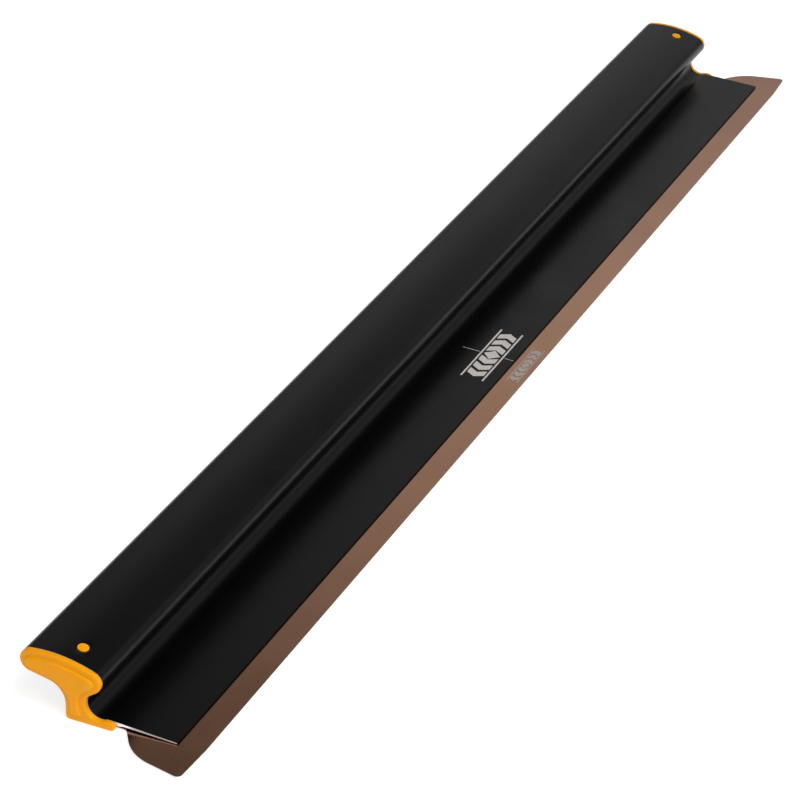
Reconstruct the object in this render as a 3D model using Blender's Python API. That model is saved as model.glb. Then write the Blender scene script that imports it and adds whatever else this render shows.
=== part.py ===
"""Wide drywall skimming blade: a spring steel blade in an extruded aluminium handle, closed by two
plug-in end caps that are held by sprung buttons.

Metres. X runs along the blade, the working edge faces -Y and +Z is up. The foot of the handle
stands on Z = 0, and the origin lies under the middle of the tool. In the functions, a point of the
cross-section is (distance behind the working edge, height above the foot).
"""
from math import acos, asin, atan2, cos, degrees, dist, pi, radians, sin, sqrt

import bmesh
import bpy
from mathutils import Matrix, Vector

MM = 0.001
GAP = 0.3 * MM                     # clearance that neighbouring pieces keep
SIDES = (("left", -1), ("right", 1))

# Driving dimensions
BLADE_LENGTH = 1016 * MM           # 40 inches
EAR = 25 * MM                      # the blade stands out this far past each end of the handle
HANDLE_LENGTH = BLADE_LENGTH - 2 * EAR
DEPTH = 114 * MM                   # working edge to the back of the palm rest
WALL = 1.8 * MM                    # wall of the extrusion

# Palm rest and neck, as circles of the cross-section
TOP_CENTRE = (96.3 * MM, -39.2 * MM)
TOP_RADIUS = 80 * MM
NOSE_Y = 69.6 * MM
NOSE_RADIUS = 7 * MM
TAIL_RADIUS = 7.35 * MM
TAIL_Y = DEPTH - TAIL_RADIUS
GROOVE_CENTRE = (64 * MM, 13.3 * MM)
GROOVE_RADIUS = 8.8 * MM
GROOVE_START = -116                # degrees, where the groove runs out into the front panel
HOLLOW_CENTRE = (98.3 * MM, 10.8 * MM)
HOLLOW_RADIUS = 12.5 * MM
HOLLOW_END = 184                   # degrees, at the back of the neck

# Front panel and foot
PANEL_FRONT_Y = 16.5 * MM
PANEL_EDGE = 1 * MM
PANEL_RAMP_Y = 50.5 * MM
PANEL_RAMP_Z = 3.15 * MM
HEEL_Y = 85.9 * MM
HEEL_RADIUS = 2.5 * MM
LIP_Y = 56.5 * MM
LIP_TOP = 1.2 * MM
LIP_RADIUS = 1 * MM

# Blade and the spine along its back edge
BLADE_BOTTOM = LIP_TOP + GAP
BLADE_THICKNESS = 0.5 * MM
BLADE_TOP = BLADE_BOTTOM + BLADE_THICKNESS
SLOT_TOP = BLADE_TOP + GAP
SLOT_Y = 54.5 * MM
CAVITY = (72.2 * MM, 82.8 * MM)
CAVITY_TOP = 5.6 * MM
CHAMBER_FLOOR = 7.4 * MM
EAR_CORNER_RADIUS = 3.5 * MM
EDGE_RELIEF = 1.3 * MM             # the working edge falls back this much at the ears
EDGE_RELIEF_LENGTH = 28 * MM
FLANK_Y = 17 * MM
FLANK_RADIUS = 31.5 * MM
FLANK_ARC = (12, 55)               # degrees that the round side of an ear spans
SHOULDER_RADIUS = 4 * MM
RIVETS = 12
RIVET_PITCH = 82 * MM
RIVET_RADIUS = 1.2 * MM
RIVET_HEAD_RADIUS = 2.2 * MM
RIVET_HEAD_DEPTH = 1 * MM

# End caps and their latches
FLANGE = 3.2 * MM
PLATEAU = 1.8 * MM
PLATEAU_INSET = 4 * MM
PLATEAU_FOOT_Z = 5 * MM
CAP_ROUNDING = 1.2 * MM
TIP_CENTRE = (57.4 * MM, 2.65 * MM)
PLUG_DEPTH = 32 * MM
PLUG_WALL = 1.6 * MM
BRIDGE = 2.5 * MM                  # what is left of the plug's roof behind the tongue
BUTTON_INSET = 12.7 * MM           # from the end of the handle
BUTTON_Y = 81.8 * MM
BUTTON_RADIUS = 3.4 * MM
BUTTON_PROUD = 0.6 * MM
TONGUE_WIDTH = 9.6 * MM
TONGUE_THICKNESS = 1.5 * MM
TONGUE_FREE_END = 7 * MM           # from the end of the handle
BEND_INSET = 0.5 * MM              # the bend line lies this far from the tongue's root


def tangent_centre(y, radius):
    """Centre of a circle at y that touches the big top circle from inside."""
    reach = TOP_RADIUS - radius
    return (y, TOP_CENTRE[1] + sqrt(reach**2 - (y - TOP_CENTRE[0]) ** 2))


NOSE_CENTRE = tangent_centre(NOSE_Y, NOSE_RADIUS)
TAIL_CENTRE = tangent_centre(TAIL_Y, TAIL_RADIUS)


def bearing(start, end):
    """Direction from one point to another, in degrees."""
    return degrees(atan2(end[1] - start[1], end[0] - start[0]))


def crossing(first, first_radius, second, second_radius, turn):
    """Angle at which a line that passes between two circles leaves the first one."""
    return bearing(first, second) + turn * degrees(
        acos((first_radius + second_radius) / dist(first, second))
    )


def on_circle(centre, radius, angle):
    """Point of a circle at an angle in degrees."""
    return (centre[0] + radius * cos(radians(angle)), centre[1] + radius * sin(radians(angle)))


def arc(centre, radius, start, end, steps):
    """Points along an arc, both ends included."""
    return [on_circle(centre, radius, start + (end - start) * i / steps) for i in range(steps + 1)]


def head_outline(inset, groove_start, hollow_end):
    """From the finger groove over the palm rest to the back of the neck, inset from the surface."""
    nose_turn = crossing(GROOVE_CENTRE, GROOVE_RADIUS, NOSE_CENTRE, NOSE_RADIUS, -1)
    tail_turn = crossing(HOLLOW_CENTRE, HOLLOW_RADIUS, TAIL_CENTRE, TAIL_RADIUS, 1)
    top_start = bearing(TOP_CENTRE, NOSE_CENTRE)
    top_end = bearing(TOP_CENTRE, TAIL_CENTRE)
    return (
        arc(GROOVE_CENTRE, GROOVE_RADIUS + inset, groove_start, nose_turn, 12)
        + arc(NOSE_CENTRE, NOSE_RADIUS - inset, nose_turn + 180, top_start, 8)
        + arc(TOP_CENTRE, TOP_RADIUS - inset, top_start, top_end, 8)[1:-1]
        + arc(TAIL_CENTRE, TAIL_RADIUS - inset, top_end, tail_turn - 180, 8)
        + arc(HOLLOW_CENTRE, HOLLOW_RADIUS + inset, tail_turn, hollow_end, 8)
    )


def chamber_outline(inset, floor):
    """The hollow of the palm rest and neck, down to a flat floor."""
    groove_start = degrees(asin((floor - GROOVE_CENTRE[1]) / (GROOVE_RADIUS + inset)))
    back = HOLLOW_CENTRE[0] - HOLLOW_RADIUS - inset
    return head_outline(inset, groove_start, 180) + [(back, floor)]


def handle_outline():
    """The whole section: front panel, palm rest, neck, foot, blade slot and spine cavity."""
    heel = arc((HEEL_Y - HEEL_RADIUS, HEEL_RADIUS), HEEL_RADIUS, 0, -90, 4)
    lip = arc((LIP_Y + LIP_RADIUS, LIP_RADIUS), LIP_RADIUS, -90, -180, 3)
    slot = [
        (LIP_Y, LIP_TOP),
        (CAVITY[1], LIP_TOP),
        (CAVITY[1], CAVITY_TOP),
        (CAVITY[0], CAVITY_TOP),
        (CAVITY[0], SLOT_TOP),
        (SLOT_Y, SLOT_TOP),
        (PANEL_RAMP_Y, PANEL_RAMP_Z),
    ]
    panel = [(PANEL_FRONT_Y, SLOT_TOP), (PANEL_FRONT_Y, SLOT_TOP + PANEL_EDGE)]
    return panel + head_outline(0, GROOVE_START, HOLLOW_END) + heel + lip + slot


def cap_outline():
    """The section behind the panel with a round tip, as the cap's flange covers it."""
    return (
        head_outline(0, GROOVE_START, HOLLOW_END)
        + arc((HEEL_Y - HEEL_RADIUS, HEEL_RADIUS), HEEL_RADIUS, 0, -90, 4)
        + arc(TIP_CENTRE, TIP_CENTRE[1], -90, -270, 8)
    )


def plateau_outline():
    """The raised part of the cap's outer face, over the palm rest and neck."""
    start = degrees(asin((PLATEAU_FOOT_Z - GROOVE_CENTRE[1]) / (GROOVE_RADIUS + PLATEAU_INSET)))
    back = HOLLOW_CENTRE[0] - HOLLOW_RADIUS - PLATEAU_INSET
    return head_outline(PLATEAU_INSET, start, 180) + [(back, PLATEAU_FOOT_Z)]


def make_material(name, colour, roughness, metallic=0.0):
    material = bpy.data.materials.new(name)
    material.use_nodes = True
    shader = material.node_tree.nodes["Principled BSDF"]
    shader.inputs["Base Color"].default_value = (*colour, 1)
    shader.inputs["Roughness"].default_value = roughness
    shader.inputs["Metallic"].default_value = metallic
    return material


def add_object(name, mesh, collection, material=None):
    piece = bpy.data.objects.new(name, mesh)
    collection.objects.link(piece)
    if material:
        piece.data.materials.append(material)
    return piece


def filled_mesh(name, loops, thickness, place):
    """Fill flat outlines, stretch them to a slab and move it to its place, as one closed mesh."""
    curve = bpy.data.curves.new(name, "CURVE")
    curve.dimensions = "2D"
    curve.fill_mode = "BOTH"
    curve.extrude = thickness / 2
    for points in loops:
        spline = curve.splines.new("POLY")
        spline.points.add(len(points) - 1)
        spline.use_cyclic_u = True
        for point, (first, second) in zip(spline.points, points):
            point.co = (first, second, 0, 1)
    outline = add_object(name, curve, parts)
    outline.matrix_world = place
    bpy.context.view_layer.update()
    depsgraph = bpy.context.evaluated_depsgraph_get()
    mesh = bpy.data.meshes.new_from_object(outline.evaluated_get(depsgraph))
    mesh.name = name
    mesh.transform(place)
    bpy.data.objects.remove(outline)
    weld(mesh)
    return mesh


def weld(mesh):
    shape = bmesh.new()
    shape.from_mesh(mesh)
    bmesh.ops.remove_doubles(shape, verts=shape.verts, dist=0.005 * MM)
    bmesh.ops.recalc_face_normals(shape, faces=shape.faces)
    shape.to_mesh(mesh)
    shape.free()


def section_mesh(name, loops, x_from, x_to):
    """A slab of the cross-section between two places along X."""
    middle = Vector(((x_from + x_to) / 2, -DEPTH / 2, 0))
    to_section = Matrix(((0, 0, 1), (1, 0, 0), (0, 1, 0))).to_4x4()
    return filled_mesh(name, loops, abs(x_to - x_from), Matrix.Translation(middle) @ to_section)


def rounded_edges(mesh, x_plane):
    """Round the edges of a slab that lie in one plane across X."""
    shape = bmesh.new()
    shape.from_mesh(mesh)
    bmesh.ops.dissolve_limit(
        shape, angle_limit=radians(1), verts=shape.verts, edges=shape.edges, delimit={"NORMAL"}
    )
    rim = [
        edge
        for edge in shape.edges
        if all(abs(vert.co.x - x_plane) < 0.01 * MM for vert in edge.verts)
        and edge.calc_face_angle(0) > radians(30)
    ]
    bmesh.ops.bevel(
        shape, geom=rim, offset=CAP_ROUNDING, segments=2, profile=0.5, affect="EDGES", material=-1
    )
    shape.to_mesh(mesh)
    shape.free()


def cylinder(name, radius, depth, place, collection, material=None, sides=20, top_radius=None):
    mesh = bpy.data.meshes.new(name)
    shape = bmesh.new()
    bmesh.ops.create_cone(
        shape,
        cap_ends=True,
        segments=sides,
        radius1=radius,
        radius2=radius if top_radius is None else top_radius,
        depth=depth,
    )
    shape.to_mesh(mesh)
    shape.free()
    piece = add_object(name, mesh, collection, material)
    piece.matrix_world = place
    return piece


def combine(piece, other, operation):
    """Join, cut or trim a piece with another, which is kept as a hidden tool."""
    modifier = piece.modifiers.new(other.name, "BOOLEAN")
    modifier.operation = operation
    modifier.solver = "EXACT"
    modifier.object = other
    other.hide_render = True
    other.display_type = "WIRE"


def button_frame(side):
    """Place and tilt of a latch button: on the palm rest's surface, Z straight out of it."""
    normal_angle = acos((BUTTON_Y - TOP_CENTRE[0]) / TOP_RADIUS)
    surface_y, surface_z = on_circle(TOP_CENTRE, TOP_RADIUS, degrees(normal_angle))
    place = Vector((side * (HANDLE_LENGTH / 2 - BUTTON_INSET), surface_y - DEPTH / 2, surface_z))
    return Matrix.Translation(place) @ Matrix.Rotation(normal_angle - pi / 2, 4, "X")


def make_handle(material):
    half = HANDLE_LENGTH / 2
    loops = [handle_outline(), chamber_outline(WALL, CHAMBER_FLOOR)]
    mesh = section_mesh("handle_extrusion", loops, -half, half)
    handle = add_object("handle_extrusion", mesh, parts, material)
    for side_name, side in SIDES:
        name = f"{side_name}_button_hole"
        hole = cylinder(name, BUTTON_RADIUS + GAP, 8 * MM, button_frame(side), cutters, sides=24)
        combine(handle, hole, "DIFFERENCE")


def blade_outline():
    """Seen from above: a straight edge between two round ears, and a back that fits the handle."""
    half = HANDLE_LENGTH / 2
    corner = (half + EAR - EAR_CORNER_RADIUS, EDGE_RELIEF + EAR_CORNER_RADIUS)
    low, high = FLANK_ARC
    step_in = FLANK_RADIUS - EAR_CORNER_RADIUS
    across = (corner[1] - FLANK_Y) * sin(radians(low))
    flank = (corner[0] - (step_in - across) / cos(radians(low)), FLANK_Y)
    end = half - GAP
    reach = FLANK_RADIUS + SHOULDER_RADIUS
    shoulder_x = end + SHOULDER_RADIUS
    along = (reach - (shoulder_x - flank[0]) * cos(radians(high))) / sin(radians(high))
    shoulder = (shoulder_x, FLANK_Y + along)
    right = (
        [(half + EAR - EDGE_RELIEF_LENGTH, 0)]
        + arc(corner, EAR_CORNER_RADIUS, -87, 0, 4)
        + arc(flank, FLANK_RADIUS, low, high, 8)
        + arc(shoulder, SHOULDER_RADIUS, high + 180, 180, 4)
        + [(end, CAVITY[1] - GAP)]
    )
    left = [(-x, y) for x, y in reversed(right)]
    return right + left


def make_blade(steel, rivet_places):
    shift = Matrix.Translation((0, -DEPTH / 2, BLADE_BOTTOM + BLADE_THICKNESS / 2))
    mesh = filled_mesh("blade", [blade_outline()], BLADE_THICKNESS, shift)
    blade = add_object("blade", mesh, parts, steel)
    for number, place in enumerate(rivet_places, 1):
        name = f"blade_hole_{number:02d}"
        hole = cylinder(name, RIVET_RADIUS + GAP, 4 * MM, place, cutters, sides=12)
        combine(blade, hole, "DIFFERENCE")


def make_spine(steel, rivet_places):
    """The strip on the blade's back edge that keeps it from pulling out of its slot."""
    front, back = CAVITY[0] + GAP, CAVITY[1] - GAP
    bottom, top = SLOT_TOP, CAVITY_TOP - GAP
    outline = [(front, bottom), (back, bottom), (back, top), (front, top)]
    half = HANDLE_LENGTH / 2 - GAP
    mesh = section_mesh("blade_spine", [outline], -half, half)
    spine = add_object("blade_spine", mesh, parts, steel)
    for number, place in enumerate(rivet_places, 1):
        name = f"spine_hole_{number:02d}"
        hole = cylinder(name, RIVET_RADIUS + GAP, 14 * MM, place, cutters, sides=12)
        combine(spine, hole, "DIFFERENCE")
        sink_place = place @ Matrix.Translation((0, 0, top - RIVET_HEAD_DEPTH / 2 - BLADE_BOTTOM))
        sink = cylinder(
            f"spine_sink_{number:02d}",
            RIVET_RADIUS + GAP,
            RIVET_HEAD_DEPTH + 2 * GAP,
            sink_place,
            cutters,
            sides=12,
            top_radius=RIVET_HEAD_RADIUS + GAP,
        )
        combine(spine, sink, "DIFFERENCE")


def make_rivets(steel, rivet_places):
    """Flush rivets: a shank from the blade's underside, spread into the sink of the spine."""
    height = CAVITY_TOP - GAP - BLADE_BOTTOM
    profile = [
        (0, 0),
        (RIVET_RADIUS, 0),
        (RIVET_RADIUS, height - RIVET_HEAD_DEPTH),
        (RIVET_HEAD_RADIUS, height),
        (0, height),
    ]
    mesh = bpy.data.meshes.new("spine_rivet")
    shape = bmesh.new()
    verts = [shape.verts.new((radius, 0, z)) for radius, z in profile]
    edges = [shape.edges.new(pair) for pair in zip(verts, verts[1:])]
    bmesh.ops.spin(
        shape, geom=verts + edges, axis=(0, 0, 1), cent=(0, 0, 0), angle=2 * pi, steps=12, use_merge=True
    )
    bmesh.ops.remove_doubles(shape, verts=shape.verts, dist=0.005 * MM)
    bmesh.ops.recalc_face_normals(shape, faces=shape.faces)
    shape.to_mesh(mesh)
    shape.free()
    mesh.materials.append(steel)
    for number, place in enumerate(rivet_places, 1):
        rivet = add_object(f"spine_rivet_{number:02d}", mesh, parts)
        rivet.matrix_world = place


def make_cap(name, side, plastic):
    """Flange with a raised face, and a hollow plug with a slot in its roof for the tongue."""
    end = side * HANDLE_LENGTH / 2
    inner = end + side * GAP
    outer = inner + side * FLANGE
    flange_mesh = section_mesh(name, [cap_outline()], inner, outer)
    rounded_edges(flange_mesh, outer)
    cap = add_object(name, flange_mesh, parts, plastic)

    face = outer + side * PLATEAU
    face_mesh = section_mesh(f"{name}_face", [plateau_outline()], inner + side * MM, face)
    rounded_edges(face_mesh, face)
    combine(cap, add_object(f"{name}_face", face_mesh, cutters), "UNION")

    plug_inset = WALL + GAP
    plug_floor = CHAMBER_FLOOR + GAP
    plug_end = end - side * PLUG_DEPTH
    plug_outline = chamber_outline(plug_inset, plug_floor)
    plug_mesh = section_mesh(f"{name}_plug", [plug_outline], plug_end, outer - side * MM)
    combine(cap, add_object(f"{name}_plug", plug_mesh, cutters), "UNION")

    hollow_outline = chamber_outline(plug_inset + PLUG_WALL, plug_floor + PLUG_WALL)
    hollow_mesh = section_mesh(f"{name}_hollow", [hollow_outline], plug_end - side * MM, inner)
    combine(cap, add_object(f"{name}_hollow", hollow_mesh, cutters), "DIFFERENCE")

    slot_start = TONGUE_FREE_END - 2 * GAP
    slot_end = PLUG_DEPTH - BRIDGE
    slot_size = (slot_end - slot_start, TONGUE_WIDTH + 2 * GAP, 9 * MM)
    slot_middle = side * (BUTTON_INSET - (slot_start + slot_end) / 2)
    slot_place = button_frame(side) @ Matrix.Translation((slot_middle, 0, 0))
    combine(cap, box(f"{name}_slot", slot_size, slot_place), "DIFFERENCE")


def box(name, size, place):
    mesh = bpy.data.meshes.new(name)
    shape = bmesh.new()
    bmesh.ops.create_cube(shape, size=1)
    bmesh.ops.scale(shape, vec=size, verts=shape.verts)
    shape.to_mesh(mesh)
    shape.free()
    piece = add_object(name, mesh, cutters)
    piece.matrix_world = place
    return piece


def make_tongue(name, side, plastic):
    """A springy strip in the plug's roof with the button on it. Its origin is the bend line."""
    root = PLUG_DEPTH - BRIDGE - GAP
    bend = root - BEND_INSET
    top = -(WALL + 2 * GAP)
    length = root - TONGUE_FREE_END
    lever = bend - BUTTON_INSET
    bend_height = top - TONGUE_THICKNESS / 2
    hinge_frame = button_frame(side) @ Matrix.Translation((-side * lever, 0, bend_height))

    mesh = bpy.data.meshes.new(name)
    shape = bmesh.new()
    strip = bmesh.ops.create_cube(shape, size=1)["verts"]
    bmesh.ops.scale(shape, vec=(length, TONGUE_WIDTH, TONGUE_THICKNESS), verts=strip)
    bmesh.ops.translate(shape, vec=(side * (bend - root + length / 2), 0, 0), verts=strip)
    shape.to_mesh(mesh)
    shape.free()
    tongue = add_object(name, mesh, parts, plastic)
    tongue.matrix_world = hinge_frame

    base = top - TONGUE_THICKNESS / 2
    height = BUTTON_PROUD - base
    button_place = button_frame(side) @ Matrix.Translation((0, 0, base + height / 2))
    button = cylinder(f"{name}_button", BUTTON_RADIUS, height, button_place, cutters, sides=24)
    combine(tongue, button, "UNION")


def rivet_frames():
    """Rivet places along the spine, on the underside of the blade."""
    y = (CAVITY[0] + CAVITY[1]) / 2 - DEPTH / 2
    return [
        Matrix.Translation(((number - (RIVETS - 1) / 2) * RIVET_PITCH, y, BLADE_BOTTOM))
        for number in range(RIVETS)
    ]


for old in list(bpy.data.objects):
    bpy.data.objects.remove(old, do_unlink=True)

parts = bpy.data.collections.new("drywall_skimming_blade")
cutters = bpy.data.collections.new("cutters")
bpy.context.scene.collection.children.link(parts)
bpy.context.scene.collection.children.link(cutters)

black_aluminium = make_material("black_aluminium", (0.012, 0.012, 0.013), 0.42, 0.3)
bronze_steel = make_material("bronze_steel", (0.13, 0.075, 0.05), 0.22, 1.0)
bare_steel = make_material("bare_steel", (0.55, 0.55, 0.56), 0.35, 1.0)
yellow_plastic = make_material("yellow_plastic", (0.85, 0.36, 0.02), 0.35)

places = rivet_frames()
make_handle(black_aluminium)
make_blade(bronze_steel, places)
make_spine(bare_steel, places)
make_rivets(bare_steel, places)
for side_name, side in SIDES:
    make_cap(f"{side_name}_end_cap", side, yellow_plastic)
    make_tongue(f"{side_name}_latch_tongue", side, yellow_plastic)
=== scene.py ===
"""Finish and stage for the wide drywall skimming blade, laid out as a Blender add-on.

Metres. X runs along the blade, the working edge faces -Y and +Z is up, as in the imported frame. In
the drawing functions, a point of the cross-section is (distance behind the working edge, height),
and a point of the plan is (place along the blade, distance behind the working edge).
"""
from math import acos, atan2, cos, degrees, dist, pi, radians, sin, sqrt, tau

import bmesh
import bpy
from bpy.props import FloatProperty, FloatVectorProperty, PointerProperty
from mathutils import Matrix, Vector


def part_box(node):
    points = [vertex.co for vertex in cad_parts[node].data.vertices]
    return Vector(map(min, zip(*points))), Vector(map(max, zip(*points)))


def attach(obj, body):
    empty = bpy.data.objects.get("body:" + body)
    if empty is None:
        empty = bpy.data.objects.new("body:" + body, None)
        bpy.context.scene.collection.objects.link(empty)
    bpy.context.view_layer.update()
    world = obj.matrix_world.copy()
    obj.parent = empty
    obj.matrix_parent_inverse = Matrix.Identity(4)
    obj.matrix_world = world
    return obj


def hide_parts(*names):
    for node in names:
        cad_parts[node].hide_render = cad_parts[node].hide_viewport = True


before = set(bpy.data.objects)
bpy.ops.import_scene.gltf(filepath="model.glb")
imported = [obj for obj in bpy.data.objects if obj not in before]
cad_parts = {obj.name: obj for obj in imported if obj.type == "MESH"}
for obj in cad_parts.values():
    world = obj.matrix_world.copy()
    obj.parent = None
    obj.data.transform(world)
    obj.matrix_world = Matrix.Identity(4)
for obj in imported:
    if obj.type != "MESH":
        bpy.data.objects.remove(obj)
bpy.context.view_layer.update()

bl_info = {
    "name": "Drywall Skimming Blade",
    "version": (1, 0, 0),
    "blender": (4, 5, 0),
    "location": "3D View > Sidebar > Skimming Blade",
    "description": "Builds the visible pieces, finishes and stage of a wide drywall skimming blade",
    "category": "Object",
}

MM = 0.001
GAP = 0.3 * MM
SIDES = (("left", -1), ("right", 1))

HANDLE_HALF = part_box("handle_extrusion")[1].x
BLADE_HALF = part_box("blade")[1].x
DEPTH = 2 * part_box("left_end_cap")[1].y
WALL = 1.8 * MM

# Palm rest and neck, as circles of the cross-section
TOP_CENTRE = (96.3 * MM, -39.2 * MM)
TOP_RADIUS = 80 * MM
NOSE_Y = 69.6 * MM
NOSE_RADIUS = 7 * MM
TAIL_RADIUS = 7.35 * MM
TAIL_Y = DEPTH - TAIL_RADIUS
GROOVE_CENTRE = (64 * MM, 13.3 * MM)
GROOVE_RADIUS = 8.8 * MM
HOLLOW_CENTRE = (98.3 * MM, 10.8 * MM)
HOLLOW_RADIUS = 12.5 * MM
HOLLOW_END = 184

# Front panel and foot
PANEL_FRONT_Y = 16.5 * MM
PANEL_EDGE = 1 * MM
PANEL_BACK = (60.14 * MM, 5.39 * MM)
PANEL_CORNER = 0.15 * MM
PANEL_RAMP = (50.5 * MM, 3.15 * MM)
SILL_RADIUS = 4 * MM
HEEL_Y = 85.9 * MM
HEEL_RADIUS = 2.5 * MM
LIP_Y = 56.5 * MM
LIP_TOP = 1.2 * MM
LIP_RADIUS = 1 * MM

# Blade and the slot and cavity that hold it
BLADE_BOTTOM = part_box("blade")[0].z
BLADE_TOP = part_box("blade")[1].z
SLOT_TOP = BLADE_TOP + GAP
SLOT_Y = 54.5 * MM
CAVITY = (72.2 * MM, 82.8 * MM)
CAVITY_TOP = 5.6 * MM
CHAMBER_FLOOR = 7.4 * MM
EAR_CORNER_RADIUS = 3.5 * MM
EDGE_RELIEF = 1.3 * MM
EDGE_RELIEF_LENGTH = 28 * MM
FLANK_Y = 17 * MM
FLANK_RADIUS = 31.5 * MM
FLANK_ARC = (12, 55)
SHOULDER_RADIUS = 4 * MM
RIVETS = 12
RIVET_PITCH = 82 * MM
RIVET_HOLE = 1.5 * MM

# End caps and their latches
FLANGE = 3.2 * MM
FACE_RISE = 1.8 * MM
FACE_INSET = 4 * MM
FACE_FOOT_Z = 5 * MM
FACE_CORNER = 2 * MM
TIP_CENTRE = (57.4 * MM, 2.65 * MM)
PLUG_DEPTH = 32 * MM
PLUG_WALL = 1.6 * MM
PLUG_LEAD = 0.6 * MM
BRIDGE = 2.5 * MM
BUTTON_INSET = 12.7 * MM
BUTTON_Y = 81.8 * MM
BUTTON_RADIUS = 3.4 * MM
BUTTON_PROUD = 0.35 * MM
BUTTON_EDGE = 0.3 * MM
HOLE_REACH = 8 * MM                # room that the cutter of a button hole needs
TONGUE_WIDTH = 9.6 * MM
TONGUE_THICKNESS = 1.5 * MM
TONGUE_FREE_END = 7 * MM
TONGUE_EDGE = 0.25 * MM
WINDOW_HEIGHT = 9 * MM
FLANGE_LIP = 0.2 * MM

# Printed marks, as places in the plan
PANEL_MARK = (24 * MM, 40.8 * MM)
BLADE_MARK = (3.7 * MM, 12 * MM)
CENTRE_LINES = ((16.9 * MM, 23.2 * MM), (41.6 * MM, 54 * MM))

MARGIN = 0.25 * MM                 # from the end of a flat to the line that keeps its shading flat
SAME_SPOT = 0.01 * MM              # vertices nearer than this are one
SMOOTH_ANGLE = radians(20)         # edges sharper than this stay crisp
CORNER_ANGLE = radians(60)         # edges sharper than this are corners to be rounded


# ---------------------------------------------------------------- section and plan geometry


def tangent_centre(y, radius):
    """Centre of a circle at y that touches the big top circle from inside."""
    reach = TOP_RADIUS - radius
    return (y, TOP_CENTRE[1] + sqrt(reach**2 - (y - TOP_CENTRE[0]) ** 2))


def sill_centre():
    """Centre of the small circle that rounds the front panel over into the finger groove."""
    start = Vector((PANEL_FRONT_Y, SLOT_TOP + PANEL_EDGE))
    along = (Vector(PANEL_BACK) - start).normalized()
    normal = Vector((-along.y, along.x))
    offset = start - SILL_RADIUS * normal - Vector(GROOVE_CENTRE)
    reach = GROOVE_RADIUS + SILL_RADIUS
    lean = along.dot(offset)
    travel = -lean - sqrt(lean**2 - offset.dot(offset) + reach**2)
    centre = start - SILL_RADIUS * normal + travel * along
    return (centre.x, centre.y), degrees(atan2(normal.y, normal.x))


NOSE_CENTRE = tangent_centre(NOSE_Y, NOSE_RADIUS)
TAIL_CENTRE = tangent_centre(TAIL_Y, TAIL_RADIUS)
SILL_CENTRE, PANEL_NORMAL = sill_centre()


def bearing(start, end):
    """Direction from one point to another, in degrees."""
    return degrees(atan2(end[1] - start[1], end[0] - start[0]))


def crossing(first, first_radius, second, second_radius, turn):
    """Angle at which a line that passes between two circles leaves the first one."""
    return bearing(first, second) + turn * degrees(
        acos((first_radius + second_radius) / dist(first, second))
    )


def on_circle(centre, radius, angle):
    return (centre[0] + radius * cos(radians(angle)), centre[1] + radius * sin(radians(angle)))


def across(x):
    """Puts a point of the cross-section at a place along the blade."""
    return lambda point: Vector((x, point[0] - DEPTH / 2, point[1]))


def flat(z):
    """Puts a point of the plan at a height."""
    return lambda point: Vector((point[0], point[1] - DEPTH / 2, z))


class Pen:
    """Draws one closed outline into a bmesh, vertex by vertex and arc by arc."""

    def __init__(self, shape, place, axis):
        self.shape = shape
        self.place = place
        self.axis = axis
        self.verts = []

    def to(self, *points):
        """Straight to each point in turn. A point where the pen already stands is passed over."""
        for point in points:
            spot = self.place(point)
            if not self.verts:
                self.verts.append(self.shape.verts.new(spot))
            elif (self.verts[-1].co - spot).length > SAME_SPOT:
                step = bmesh.ops.extrude_vert_indiv(self.shape, verts=self.verts[-1:])
                step["verts"][0].co = spot
                self.verts.append(step["verts"][0])

    def flat_run(self, end):
        """Straight to a point, with a vertex just inside each end that keeps the shading flat."""
        start, stop = self.verts[-1].co.copy(), self.place(end)
        inward = (stop - start).normalized() * MARGIN
        for spot in (start + inward, stop - inward, stop):
            step = bmesh.ops.extrude_vert_indiv(self.shape, verts=self.verts[-1:])
            step["verts"][0].co = spot
            self.verts.append(step["verts"][0])

    def turn(self, centre, radius, start, end, steps):
        """Along an arc between two angles in degrees."""
        self.to(on_circle(centre, radius, start))
        bmesh.ops.spin(
            self.shape,
            geom=self.verts[-1:],
            cent=self.place(centre),
            axis=self.axis,
            angle=radians(end - start),
            steps=steps,
        )
        for _ in range(steps):
            here, before = self.verts[-1], self.verts[-2:-1]
            ahead = [edge.other_vert(here) for edge in here.link_edges]
            self.verts.append(next(vert for vert in ahead if vert not in before))

    def close(self):
        """Close the outline and give its vertices in order."""
        if (self.verts[-1].co - self.verts[0].co).length < SAME_SPOT:
            self.shape.verts.remove(self.verts.pop())
        self.shape.edges.new((self.verts[-1], self.verts[0]))
        return self.verts


def section_pen(shape, x):
    return Pen(shape, across(x), (1, 0, 0))


def plan_pen(shape, z):
    return Pen(shape, flat(z), (0, 0, 1))


def draw_head(pen, inset, groove_start, hollow_end):
    """From the finger groove over the palm rest to the back of the neck."""
    nose_turn = crossing(GROOVE_CENTRE, GROOVE_RADIUS, NOSE_CENTRE, NOSE_RADIUS, -1)
    tail_turn = crossing(HOLLOW_CENTRE, HOLLOW_RADIUS, TAIL_CENTRE, TAIL_RADIUS, 1)
    top_start = bearing(TOP_CENTRE, NOSE_CENTRE)
    top_end = bearing(TOP_CENTRE, TAIL_CENTRE)
    pen.turn(GROOVE_CENTRE, GROOVE_RADIUS + inset, groove_start, nose_turn, 24)
    pen.turn(NOSE_CENTRE, NOSE_RADIUS - inset, nose_turn + 180, top_start, 20)
    pen.turn(TOP_CENTRE, TOP_RADIUS - inset, top_start, top_end, 20)
    pen.turn(TAIL_CENTRE, TAIL_RADIUS - inset, top_end, tail_turn - 180, 24)
    pen.turn(HOLLOW_CENTRE, HOLLOW_RADIUS + inset, tail_turn, hollow_end, 14)


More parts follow.
